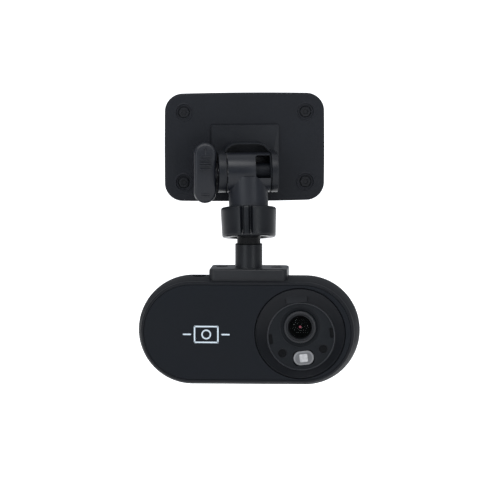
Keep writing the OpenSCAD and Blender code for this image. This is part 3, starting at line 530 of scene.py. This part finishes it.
yoke = cut(yoke, x_round("c", [(0.01, bolt_seat), (3.6, bolt_seat), (3.6, 14), (0.01, 14)], 64),
           x_round("c", [(0.01, -14), (2.03, -14), (2.03, 14), (0.01, 14)], 48))
bevel(yoke, 0.42, 3, 40)
place(yoke, HINGE, M_YOKE, "mount", "hinge_yoke")

# ---------------------------------------------------------------- knuckle
COLLAR_TOP, COLLAR_LOW, BALL_DROP = -15.0, -27.9, 22.9
barrel = x_round("swivel_knuckle_shape", [(0.01, -9.1), (BARREL_R, -9.1), (BARREL_R, 9.1), (0.01, 9.1)], 128)
tube = shift(z_round("t", [(0.01, -21), (8.45, -21), (8.45, -2.6), (0.01, -2.6)], 96), y=-0.4)
thread = z_round("t", [(0.01, -20.9), (9.35, -20.9), (9.35, -15.2), (0.01, -15.2)], 96)
knuckle = union(barrel, tube, thread)
POCKET_R = 8.25  # round the ball's two liners
half_turn = [math.radians(7.5 * k) for k in range(25)]
path = [(max(0.01, POCKET_R * math.sin(t)), -BALL_DROP - POCKET_R * math.cos(t)) for t in half_turn]
socket = z_round("c", path, 96)
window = slab("c", 9.0, 10.1, 1.3, -9.5, 3.5, cx=7.2, cz=1.85, n=6)
bore = x_round("c", [(0.01, -9.5), (4.05, -9.5), (4.05, 9.5), (0.01, 9.5)], 64)
knuckle = cut(knuckle, bore, window, socket)
bevel(knuckle, 0.28, 3, 40)
place(knuckle, KNUCKLE, M_KNUCKLE, "knuckle", "swivel_knuckle")

# ---------------------------------------------------------------- wing knob
KNOB_IN, KNOB_W, KNOB_L = 13.8, 9.5, 25.9
KNOB_X = -KNOB_IN - KNOB_W / 2


def knob_half(z):
    """Half the knob's thickness: it swells towards the hinge axis."""
    return 4.4 - 2.0 * (z / (KNOB_L / 2)) ** 2


rings = []
edge_steps = [(0.6, 0.0), (0.76, 0.1), (0.89, 0.34), (0.965, 0.7), (1.0, 1.15)]
for t, i in [(-t, i) for t, i in reversed(edge_steps)] + edge_steps:
    ring = rrect_ring(KNOB_W - 2 * i, KNOB_L - 2 * i, KNOB_W / 2 - i - 0.01, 0, n=16)
    rings.append([(x, t * knob_half(z), z) for x, _, z in ring])
knob = loft("wing_knob_shape", rings, cap0=False, cap1=False)
# the two swollen faces are built as strips so that they follow the swell
bm = bmesh.new()
bm.from_mesh(knob.data)
for side in (-1, 1):
    edge = [v for v in bm.verts if abs(v.co.y - side * knob_half(v.co.z)) < 1e-4]
    left = sorted([v for v in edge if v.co.x < -1e-3], key=lambda v: v.co.z)
    right = sorted([v for v in edge if v.co.x > 1e-3], key=lambda v: v.co.z)
    for k in range(min(len(left), len(right)) - 1):
        quad = [left[k], right[k], right[k + 1], left[k + 1]]
        try:
            bm.faces.new(quad)
        except ValueError:
            pass
bmesh.ops.recalc_face_normals(bm, faces=bm.faces)
bm.to_mesh(knob.data)
bm.free()
shift(knob, x=KNOB_X)
place(knob, HINGE, M_KNUCKLE, "knob", "wing_knob")
hub_x0, hub_x1 = -KNOB_IN - 0.4, -KNOB_IN + 0.01
hub = x_round("knob_hub", [(2.08, hub_x0), (3.6, hub_x0), (3.6, hub_x1), (2.08, hub_x1)], 64)
place(hub, HINGE, M_KNUCKLE, "knob")
# height along the knob, width
KNOB_RIBS = ((7.3, 4.6), (5.9, 4.6), (4.5, 5.0), (3.5, 5.0), (1.8, 4.6), (-8.7, 3.6), (-9.7, 3.6))
for k, (z, w) in enumerate(KNOB_RIBS):
    y = -knob_half(z)
    rib = slab(f"knob_rib_{k}", w, 0.42, 0.2, y - 0.3, y + 0.3, e0=0.15, steps=2, n=4, cx=KNOB_X, cz=z)
    place(rib, HINGE, M_KNUCKLE, "knob")
STEM_Z = 9.2
y = -knob_half(STEM_Z)
stem = slab("knob_rib_up", 0.42, 3.4, 0.2, y - 0.25, y + 0.5, e0=0.12, steps=2, n=4, cx=KNOB_X, cz=STEM_Z)
place(stem, HINGE, M_KNUCKLE, "knob")

# ---------------------------------------------------------------- clamp collar
# three ribs, each between two flutes
COLLAR_POINTS = 480
FLUTE_AT, FLUTE_HALF = 9.0, 3.9  # degrees from the rib's middle, and half a flute's width


def collar_ring(r, z, depth):
    pts = []
    n = COLLAR_POINTS
    for k in range(n):
        t = 360 * k / n
        off = 0.0
        for c in (0, 120, 240):
            d = (t - c + 180) % 360 - 180
            for s in (-1, 1):
                g = (d - s * FLUTE_AT) / FLUTE_HALF
                if abs(g) < 1:
                    off = max(off, depth * math.sqrt(1 - g ** 2))
        a = math.radians(t - 90 - 10)
        pts.append(((r - off) * math.cos(a), (r - off) * math.sin(a), z))
    return pts


# radius, depth below the collar's top, depth of the flutes
upper = [(9.5, 0, 0), (10.6, 0, 0.5), (11.1, 0.05, 1.0), (11.5, 0.22, 1.35), (11.75, 0.55, 1.6),
         (11.88, 1.0, 1.8), (11.9, 1.5, 1.8), (11.9, 2.1, 1.8), (11.87, 3.0, 1.8)]
# radius, height above the collar's lower edge, depth of the flutes
lower = [(11.62, 3.4, 1.7), (11.57, 2.2, 1.4), (11.54, 1.4, 0.9), (11.5, 0.8, 0.4), (11.38, 0.45, 0.15),
         (11.15, 0.15, 0.05), (10.85, 0.02, 0), (10.5, 0, 0), (8.4, 0, 0), (6.7, 1.9, 0)]
path = [(r, COLLAR_TOP - z, d) for r, z, d in upper] + [(r, COLLAR_LOW + z, d) for r, z, d in lower]
path += [(6.7, -BALL_DROP - 2.1, 0), (9.45, -BALL_DROP + 2, 0)]
collar = loft("clamp_collar_shape", [collar_ring(r, z, d) for r, z, d in path], closed=True)
place(collar, KNUCKLE, M_COLLAR, "collar", "clamp_collar")

# ---------------------------------------------------------------- ball, neck and shoe
SHOE_TOP = MAX_R + 3.6
BALL_R = 7
NECK_END = SHOE_TOP - BALL_UP
ball = []
for k in range(33):
    t = math.radians(90 - k * (90 + 44) / 32)
    ball.append((max(0.01, BALL_R * math.cos(t)), BALL_R * math.sin(t)))
# the ball and its waist take the near-black material: painted shade under the collar
head = z_round("ball_head", ball + [(5.0, -5.0), (5.0, -7.7), (0.01, -7.7)], 96)
place(head, BALL, M_BALL_SHADE, "camera")
path = rounded_path([(0.01, -7.68), (5.85, -7.68, 0.2), (5.85, NECK_END, 0.9), (6.6, NECK_END - 0.02),
                     (0.01, NECK_END - 0.02)], 5)
stem = z_round("ball_stem_shape", path, 96)
place(stem, BALL, M_COLLAR, "camera", "ball_stem")

BELLY_Y = BEZEL_D + 10  # depth of the widest section
Y_TO_DOWN = Matrix.Rotation(math.radians(-90), 4, "X")
shoe = slab("mount_shoe_shape", 33.4, 20.0, 2.5, -SHOE_TOP, -PART_R + 0.2, e0=1.0, steps=6, n=10)
shoe = turn(shoe, Y_TO_DOWN)
shift(shoe, y=BELLY_Y)


BACK_ROUND = 5.9  # how far the back edge is rounded in


def front_r(y):
    """The body's half height between the parting line and its widest section."""
    return MAX_R - CROWN * ((BELLY_Y - y) / 10) ** 2


def back_r(y):
    """The body's half height behind its widest section."""
    t = min(1.0, (y - BELLY_Y) / (BODY_D - BELLY_Y))
    return MAX_R - BACK_ROUND + BACK_ROUND * math.sqrt(max(0.0, 1 - t * t))


prof = [(BEZEL_D - 1 + 0.5 * k, front_r(BEZEL_D - 1 + 0.5 * k)) for k in range(23)]
prof += [(BELLY_Y + 0.8 * k, back_r(BELLY_Y + 0.8 * k)) for k in range(1, 15)]
under = loft("c", [[(x, y, z) for y, z in [(prof[0][0], 0)] + prof + [(prof[-1][0], 0)]] for x in (-30, 30)])
shoe = cut(shoe, under)
SHOE_SCREW_X = 11.7
path = rounded_path([(0.01, SHOE_TOP - 1.6), (2.5, SHOE_TOP - 1.6), (2.5, SHOE_TOP - 0.15, 0.1),
                     (2.8, SHOE_TOP + 0.3), (0.01, SHOE_TOP + 0.3)])
for side in (-1, 1):
    shoe = cut(shoe, shift(z_round("c", path, 48), x=side * SHOE_SCREW_X, y=BELLY_Y))
place(shoe, CAMERA, M_SHOE, "camera", "mount_shoe")

# ---------------------------------------------------------------- shell
outer = [(PART_R - 0.55, BEZEL_D + 0.02), (PART_R - 0.5, BEZEL_D + 0.1), (PART_R - 0.12, BEZEL_D + 0.13),
         (front_r(BEZEL_D + 0.25), BEZEL_D + 0.25)]
outer += [(front_r(y), y) for y in (3.6, 4.6, 5.8, 7, 8.5, 10, 11.5)]
for k in range(0, 15):
    a = math.radians(90 * k / 14)
    outer.append((MAX_R - BACK_ROUND + BACK_ROUND * math.cos(a), BELLY_Y + (BODY_D - BELLY_Y) * math.sin(a)))
inner = [(16, 26.5), (19.5, 25), (21.5, 20), (21.9, 13), (20.92, 5), (20.92, BEZEL_D)]
shell = capsule("rear_shell_shape", inner + outer, n=64)
JACK_X, JACK_Y, CARD_X, CARD_Y, ROAD_X = -21.3, 11, -8, 15, -21
jack_path = rounded_path([(0.01, 18), (2.85, 18), (2.85, 23.12, 0.1), (3.3, 23.6), (3.3, 25), (0.01, 25)])
cuts = [shift(z_round("c", jack_path, 48), x=JACK_X, y=JACK_Y),
        turn(slab("c", 12.2, 2.0, 0.6, 20, 25, n=6), Matrix.Translation((CARD_X, CARD_Y, 0)) @ Y_TO_DOWN),
        revolve("c", [(0.01, 25), (7.6, 25), (7.6, 29), (0.01, 29)], 64, ROAD_X, 0)]
BODY_SCREWS = ((-38.1, 9), (-38.1, -9), (2, 17.3), (2, -17.3))
path = rounded_path([(0.01, 25), (2.2, 25), (2.2, 27.8, 0.1), (2.5, 28.3), (0.01, 28.3)])
for x, z in BODY_SCREWS:
    cuts.append(revolve("c", path, 32, x, z))
# vents
for i in range(5):
    cuts.append(slab("c", 12 - 2 * abs(i - 2), 1.2, 0.59, 25.5, 29, cx=TURRET_X, cz=3 * (i - 2), n=6))
shell = cut(shell, *cuts)
place(shell, CAMERA, M_SHELL, "camera", "rear_shell", angle=25)

# the bezel between the parting line and the face plate
bez = [(FACE_R + 0.12, 2.9), (FACE_R + 0.12, 0.35)]
bez += rounded_path([(FACE_R + 0.12, 0.25), (FACE_R + 0.15, 0.02, 0.1), (FACE_R + 0.62, 0.0, 0.3),
                     (FACE_R + 1.25, 0.65, 0.6), (PART_R, BEZEL_D - 0.12)], 5)
bez += [(PART_R - 0.12, BEZEL_D - 0.06), (PART_R - 0.7, BEZEL_D - 0.04)]
bezel = capsule("front_bezel_shape", bez, closed=True, n=64)
place(bezel, CAMERA, M_SHELL, "camera", "front_bezel")

path = [(FACE_R, FACE_T), (FACE_R, 0.16), (FACE_R - 0.05, 0.07), (FACE_R - 0.18, 0.012)]
face = capsule("face_plate_shape", path, n=64)
path = rounded_path([(0.01, 3), (HOLE_R, 3), (HOLE_R, 0.2, 0.1), (HOLE_R + 0.3, -0.2), (0.01, -0.2)])
hole = revolve("c", path, 128, TURRET_X, TURRET_Z)
face = cut(face, hole)
place(face, CAMERA, M_FACE, "camera", "face_plate")

# ---------------------------------------------------------------- turret
DISC_BACK = 6.4
HOLE_X, HOLE_Z = 8.8, -6.3 - DISC_DROP
NOTCH_X, NOTCH_Z = 13.1, -DISC_DROP + 0.2
IR_Z = -9.35 - DISC_DROP


def bowl_rings():
    """The bowl's wall leans: wide and centred at the face, smaller and lower at the disc."""
    out = []
    path = [(TURRET_R, 6.0, 0), (TURRET_R, 0.4, 0), (TURRET_R - 0.06, 0.2, 0), (TURRET_R - 0.15, 0.04, 0),
            (TURRET_R - 0.25, 0.03, 0), (TURRET_R - 0.33, 0.1, 0), (TURRET_R - 0.4, 0.3, 0)]
    r0, r1 = TURRET_R - 0.44, DISC_R + 0.25
    for k in range(0, 13):
        t = k / 12
        path.append((r0 + (r1 - r0) * t, 0.5 + (BOWL_D - 0.55) * t, -DISC_DROP * t))
    path += [(DISC_R + 0.1, BOWL_D - 0.02, -DISC_DROP), (DISC_R + 0.03, BOWL_D + 0.1, -DISC_DROP),
             (DISC_R + 0.03, DISC_BACK, -DISC_DROP)]
    for r, y, cz in path:
        out.append(circle_ring(r, y, 128, 0, cz))
    return out


bowl = loft("lens_bowl_shape", bowl_rings(), cap0=True, cap1=True)
place(bowl, TURRET, M_BOWL, "turret", "lens_bowl")

path = [(0.01, DISC_BACK), (DISC_R, DISC_BACK), (DISC_R, BOWL_D + 0.12), (DISC_R - 0.12, BOWL_D),
        (0.01, BOWL_D)]
disc = revolve("turret_face_shape", path, 128, 0, -DISC_DROP)
lens_hole = [(0.01, 7), (6.2, 7), (6.2, BOWL_D + 0.3), (8.5, BOWL_D + 0.3), (8.5, 4), (0.01, 4)]
cuts = [revolve("c", lens_hole, 96, 0, LENS_Z), slab("c", 9.1, 6.4, 2.3, 4, BOWL_D + 1.0, cz=IR_Z, n=10)]
side_hole = [(0.01, BOWL_D + 0.95), (1.75, BOWL_D + 0.95), (1.8, 4), (0.01, 4)]
for side in (-1, 1):
    cuts.append(revolve("c", side_hole, 48, side * HOLE_X, HOLE_Z))
    cuts.append(slab("c", 1.5, 4.3, 0.5, 4, BOWL_D + 1.2, cx=side * NOTCH_X, cz=NOTCH_Z, n=6))
disc = cut(disc, *cuts)
bevel(disc, 0.1, 2, 40)
place(disc, TURRET, M_DISC, "turret", "turret_face")

# the trim ring's lighter material paints the rim's edge highlight
path = rounded_path([(DISC_R - 0.55, BOWL_D), (DISC_R - 0.5, BOWL_D - 0.22, 0.08),
                     (DISC_R - 0.15, BOWL_D - 0.28, 0.08), (DISC_R - 0.02, BOWL_D)], 3)
trim = revolve("trim_ring_shape", path, 128, 0, -DISC_DROP, closed=True)
place(trim, TURRET, M_TRIM_HIGHLIGHT, "turret", "trim_ring")

tab = slab("bowl_tab", 9.3, 5.2, 0.6, 2.6, 5.2, e0=0.3, cz=15.6, n=6)
place(tab, TURRET, M_BOWL, "turret")

# dark wells in the disc's notches: painted shade of the recesses
for k, side in enumerate((-1, 1)):
    well = slab(f"disc_notch_shade_{k}", 1.48, 4.28, 0.48, BOWL_D + 0.55, BOWL_D + 1.3, cx=side * NOTCH_X,
                cz=NOTCH_Z, n=6)
    place(well, TURRET, M_HOLE_SHADE, "turret")
path = rounded_path([(8.35, BOWL_D + 0.05), (8.45, BOWL_D - 0.07, 0.03), (8.7, BOWL_D - 0.07, 0.04),
                     (8.8, BOWL_D + 0.05)], 3)
halo = revolve("disc_halo", path, 96, 0, LENS_Z, cap0=False, cap1=False)
place(halo, TURRET, M_BOWL, "turret")
path = rounded_path([(6.2, BOWL_D + 0.3), (6.85, BOWL_D + 0.3, 0.05), (6.88, 3.65, 0.25), (6.3, 3.4, 0.15),
                     (5.95, 3.4, 0.1), (5.85, 3.75, 0.1), (5.65, 3.75, 0.1), (5.55, 3.5, 0.1),
                     (5.3, 3.5, 0.12), (5.0, 4.3, 0.1), (4.95, 5.5)], 3)
ring = revolve("cabin_lens_ring", path, 128, 0, LENS_Z, cap0=False, cap1=False)
place(ring, TURRET, M_LENS, "turret", "cabin_lens_barrel")
path = [(4.95, 4.6), (4.5, 4.85), (4.4, 5.15), (3.9, 5.15), (3.8, 5.4), (3.1, 5.4), (3.0, 5.65), (2.2, 5.65),
        (2.1, 5.85), (0.01, 5.85)]
# the stack's near-black material is painted shade of the lens's inside
stack = revolve("cabin_lens_stack", path, 96, 0, LENS_Z, cap0=False, cap1=False)
place(stack, TURRET, M_PAINTED_SHADE, "turret")
# a small bright piece behind the glass: painted glint
path = [(0.01, 5.3), (0.3, 5.33), (0.5, 5.42), (0.6, 5.6)]
glint = revolve("cabin_lens_painted_glint", path, 48, 0, LENS_Z, cap0=False, cap1=False)
place(glint, TURRET, M_GLINT, "turret")
dome = []
for k in range(13):
    a = math.radians(33 * k / 12)
    dome.append((max(0.01, 9.0 * math.sin(a)), 12.9 - 9.0 * math.cos(a)))
glass = revolve("cabin_lens_front", dome, 96, 0, LENS_Z, cap0=False, cap1=False)
place(glass, TURRET, M_GLASS, "turret", "cabin_lens_glass", angle=60)

path = rounded_path([(1.8, BOWL_D + 0.02), (1.85, BOWL_D - 0.07, 0.03), (2.05, BOWL_D - 0.07, 0.04),
                     (2.15, BOWL_D + 0.02)], 3)
for k, side in enumerate((-1, 1)):
    rim = revolve(f"disc_hole_rim_{k}", path, 32, side * HOLE_X, HOLE_Z, cap0=False, cap1=False)
    place(rim, TURRET, M_BOWL, "turret")
irw = slab("ir_window_shape", 8.75, 6.1, 2.95, BOWL_D - 0.12, BOWL_D + 0.5, e0=0.35, cz=IR_Z, n=12)
place(irw, TURRET, M_IR, "turret", "ir_window")
die = slab("ir_window_light", 3.5, 3.5, 0.5, BOWL_D - 0.17, BOWL_D, e0=0.1, steps=2, cz=IR_Z, n=6)
place(die, TURRET, M_LED, "turret")
rim = slab("ir_window_inner", 7.2, 4.7, 2.2, BOWL_D - 0.145, BOWL_D, e0=0.06, steps=2, cz=IR_Z, n=10)
place(rim, TURRET, M_IRDARK, "turret")


# printed mark on the face: a plain camera outline between two dashes
INK_X, INK_Z, INK_LINE, INK_BACK = -17.6, -0.9, 0.62, 0.05


def ink_bar(name, x, z, w, h):
    bar = slab(name, w, h, min(w, h) * 0.49, 0.0, INK_BACK, cx=x, cz=z, n=4)
    place(bar, CAMERA, M_INK, "camera")


def ink_ring(name, x, z, r, line):
    path = [(r - line, INK_BACK), (r - line, 0.0), (r, 0.0), (r, INK_BACK)]
    o = revolve(name, path, 48, x, z, cap0=False, cap1=False)
    place(o, CAMERA, M_INK, "camera")


ink_bar("mark_top", INK_X, INK_Z + 3.4, 10.6, INK_LINE)
ink_bar("mark_bottom", INK_X, INK_Z - 3.4, 10.6, INK_LINE)
for k, side in enumerate((-1, 1)):
    ink_bar(f"mark_side_{k}", INK_X + side * 5.0, INK_Z, INK_LINE, 7.2)
    ink_bar(f"mark_dash_{k}", INK_X + side * 8.3, INK_Z, 3.6, INK_LINE)
ink_ring("mark_lens", INK_X, INK_Z, 2.1, 0.6)

# ---------------------------------------------------------------- road lens
path = rounded_path([(14, 28.0), (14, 30.6, 0.5), (13.2, 31.0, 0.3), (12.5, 31.0, 0.3), (7.5, 28.4),
                     (7.4, 27.9)], 4)
bez = revolve("road_lens_bezel_shape", path, 128, ROAD_X, 0, cap0=False, cap1=False)
place(bez, CAMERA, M_LENS, "camera", "road_lens_bezel")
path = rounded_path([(7.35, 27.6), (7.2, 28.8, 0.2), (6.4, 28.8, 0.15), (6.2, 28.4, 0.1), (5.6, 28.4, 0.1),
                     (5.3, 27.5)], 3)
barrel = revolve("road_lens_ring", path, 96, ROAD_X, 0, cap0=False, cap1=False)
place(barrel, CAMERA, M_LENS, "camera", "road_lens_barrel")
path = [(5.3, 27.6), (4.6, 27.35), (4.5, 27.1), (3.8, 27.05), (3.7, 26.9), (2.9, 26.87), (2.8, 26.7),
        (0.01, 26.68)]
# the stack's near-black material is painted shade of the lens's inside
stack = revolve("road_lens_stack", path, 96, ROAD_X, 0, cap0=False, cap1=False)
place(stack, CAMERA, M_PAINTED_SHADE, "camera")
dome = []
for k in range(13):
    a = math.radians(34 * k / 12)
    dome.append((max(0.01, 9.2 * math.sin(a)), 19.6 + 9.2 * math.cos(a)))
glass = revolve("road_lens_front", dome, 96, ROAD_X, 0, cap0=False, cap1=False)
place(glass, CAMERA, M_GLASS, "camera", "road_lens_glass", angle=60)

# ---------------------------------------------------------------- floor and light
scene = bpy.context.scene
scene.view_settings.view_transform = "Standard"
floor = mesh_obj("floor", [(-20, -20, 0), (20, -20, 0), (20, 20, 0), (-20, 20, 0)], [(0, 1, 2, 3)])
floor.location.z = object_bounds()[0].z - 0.06
m, nt, b = nodes_of("pale_floor")
tc = nt.nodes.new("ShaderNodeTexCoord").outputs["Object"]
pale = mixed(nt, noise(nt, tc, 3.0), (0.90, 0.90, 0.90), (0.94, 0.94, 0.94))
nt.links.new(pale, b.inputs["Base Color"])
nt.links.new(pale, b.inputs["Emission Color"])
b.inputs["Emission Strength"].default_value = 0.6
b.inputs["Roughness"].default_value = 0.9
b.inputs["Specular IOR Level"].default_value = 0.0
floor.data.materials.append(m)

# the room: bright overhead, dim towards the horizon
world = bpy.data.worlds.new("studio")
world.use_nodes = True
nt = world.node_tree
sky = nt.nodes["Background"]
way = nt.nodes.new("ShaderNodeSeparateXYZ")
nt.links.new(nt.nodes.new("ShaderNodeTexCoord").outputs["Generated"], way.inputs[0])
height = ranged(nt, way.outputs["Z"], 0, 1, 0.0, 0.9)
nt.links.new(mixed(nt, height, (0.20, 0.22, 0.26), (1.15, 1.17, 1.22)), sky.inputs["Color"])
sky.inputs["Strength"].default_value = 1.0
scene.world = world


def softbox(name, az, el, dist, size, power, color=(1, 1, 1)):
    """A light panel: az from the lens side of the camera, positive to its right."""
    d = bpy.data.lights.new(name, "AREA")
    d.shape, d.size, d.size_y, d.energy, d.color = "RECTANGLE", size[0], size[1], power, color
    o = bpy.data.objects.new(name, d)
    scene.collection.objects.link(o)
    a, e = math.radians(az) + AZ, math.radians(el)
    at = Vector((math.sin(a) * math.cos(e), -math.cos(a) * math.cos(e), math.sin(e))) * dist
    o.location = target + at
    o.rotation_mode = "QUATERNION"
    o.rotation_quaternion = (-at).to_track_quat("-Z", "Y")
    return o


softbox("top", -6, 62, 1.1, (1.1, 0.5), 10)
softbox("left", -34, 8, 1.4, (0.55, 1.3), 9.0, (0.90, 0.96, 1.0))
softbox("right", 38, 8, 1.4, (0.26, 1.2), 6.2, (0.94, 0.98, 1.0))
